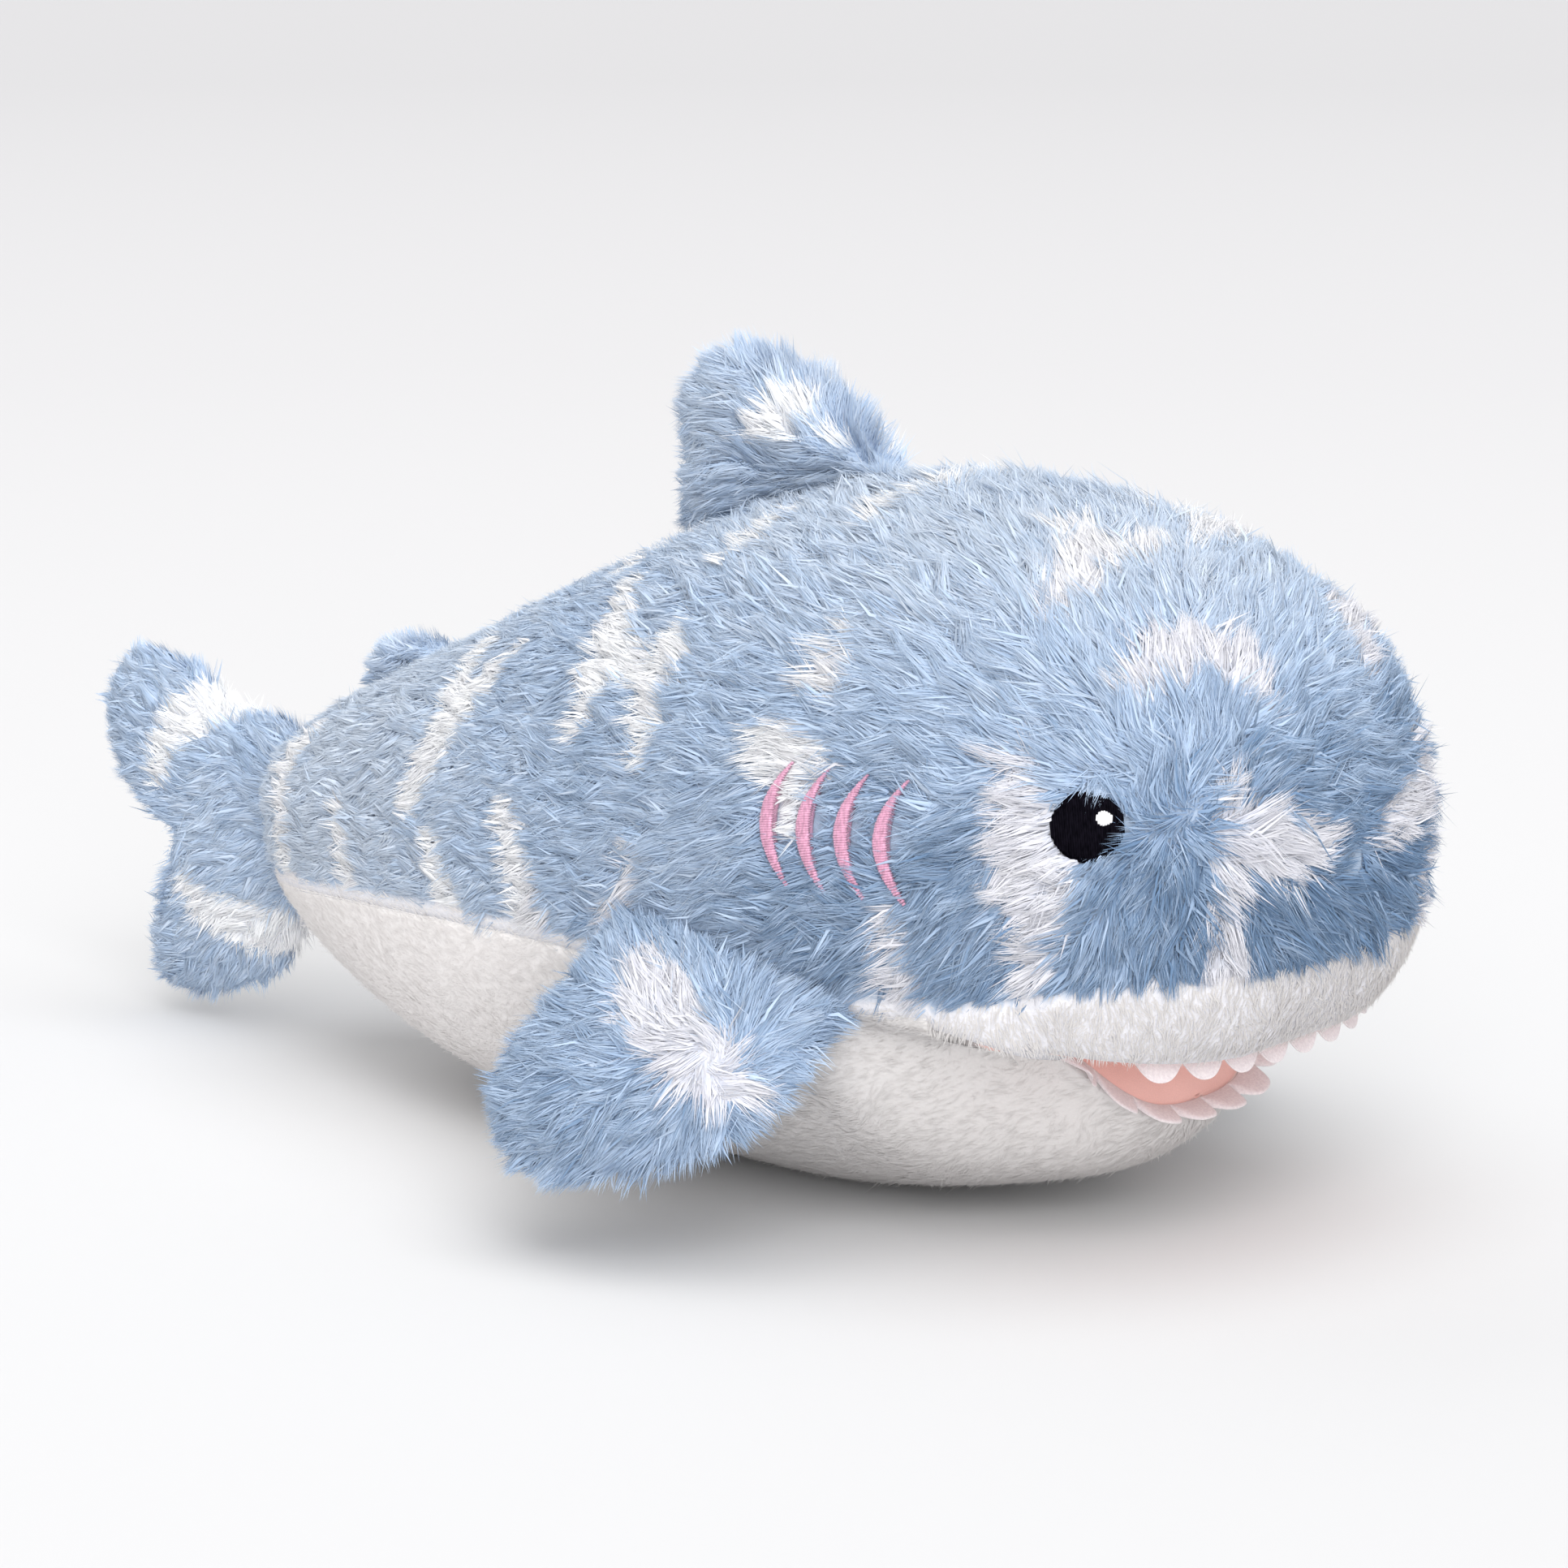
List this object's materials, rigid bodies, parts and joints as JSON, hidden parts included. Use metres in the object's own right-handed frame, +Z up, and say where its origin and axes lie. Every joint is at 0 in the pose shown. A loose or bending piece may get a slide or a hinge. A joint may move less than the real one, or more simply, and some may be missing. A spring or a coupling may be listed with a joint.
{
  "type": "plush shark",
  "caption": "Stuffed plush shark in long blue and white pile, with sewn fins that flex at their seams, embroidered eyes and gills, and an open felt-toothed mouth; rests on its belly.",
  "frame": {"origin": "on the floor, on the flat that the belly presses when the toy stands", "axes": "+X towards the nose, +Y to the left side of the shark, +Z up"},
  "size_m": [0.4636, 0.286, 0.2307],
  "materials": {
    "blue_pile": "long brushed pile",
    "white_pile": "short dense pile",
    "pink_lining": "brushed knit",
    "white_felt": "felt",
    "black_thread": "embroidery",
    "white_thread": "embroidery",
    "pink_thread": "satin stitch",
    "fibre_fill": "loose fibre"
  },
  "bodies": {
    "body": {"right_side_panel": "blue_pile", "left_side_panel": "blue_pile", "belly_panel": "white_pile", "upper_lip_band": "white_pile", "upper_mouth_lining": "pink_lining", "lower_mouth_lining": "pink_lining", "upper_teeth": "white_felt", "lower_teeth": "white_felt", "right_eye": "black_thread", "right_eye_glint": "white_thread", "right_gill_1": "pink_thread", "right_gill_2": "pink_thread", "right_gill_3": "pink_thread", "right_gill_4": "pink_thread", "left_eye": "black_thread", "left_eye_glint": "white_thread", "left_gill_1": "pink_thread", "left_gill_2": "pink_thread", "left_gill_3": "pink_thread", "left_gill_4": "pink_thread", "body_stuffing": "fibre_fill"},
    "dorsal_fin": {"dorsal_fin_right": "blue_pile", "dorsal_fin_left": "blue_pile", "dorsal_fin_stuffing": "fibre_fill"},
    "rear_fin": {"rear_fin_right": "blue_pile", "rear_fin_left": "blue_pile", "rear_fin_stuffing": "fibre_fill"},
    "tail_fin": {"tail_fin_right": "blue_pile", "tail_fin_left": "blue_pile", "tail_fin_stuffing": "fibre_fill"},
    "right_fin": {"right_fin_outer": "blue_pile", "right_fin_inner": "blue_pile", "right_fin_stuffing": "fibre_fill"},
    "left_fin": {"left_fin_outer": "blue_pile", "left_fin_inner": "blue_pile", "left_fin_stuffing": "fibre_fill"}
  },
  "joints": [
    {"name": "dorsal_fin_flop", "type": "hinge", "parent": "body", "child": "dorsal_fin", "pos_m": [0.01606, 0, 0.18791], "axis": [0.95, 0, 0.3122], "range_deg": [-25, 25], "stiffness_Nm_per_rad": 0.5},
    {"name": "rear_fin_flop", "type": "hinge", "parent": "body", "child": "rear_fin", "pos_m": [-0.12994, 0, 0.12172], "axis": [0.896, 0, 0.444], "range_deg": [-25, 25], "stiffness_Nm_per_rad": 0.1},
    {"name": "tail_swish", "type": "hinge", "parent": "body", "child": "tail_fin", "pos_m": [-0.1803, 0, 0.073], "axis": [0, 0, 1], "range_deg": [-30, 30], "stiffness_Nm_per_rad": 0.6},
    {"name": "right_fin_flap", "type": "hinge", "parent": "body", "child": "right_fin", "pos_m": [0.071, -0.09555, 0.077], "axis": [-0.9845, 0.0241, 0.1736], "range_deg": [-8, 50], "stiffness_Nm_per_rad": 0.5},
    {"name": "left_fin_flap", "type": "hinge", "parent": "body", "child": "left_fin", "pos_m": [0.071, 0.09555, 0.077], "axis": [0.9845, 0.0241, -0.1736], "range_deg": [-8, 50], "stiffness_Nm_per_rad": 0.5}
  ]
}
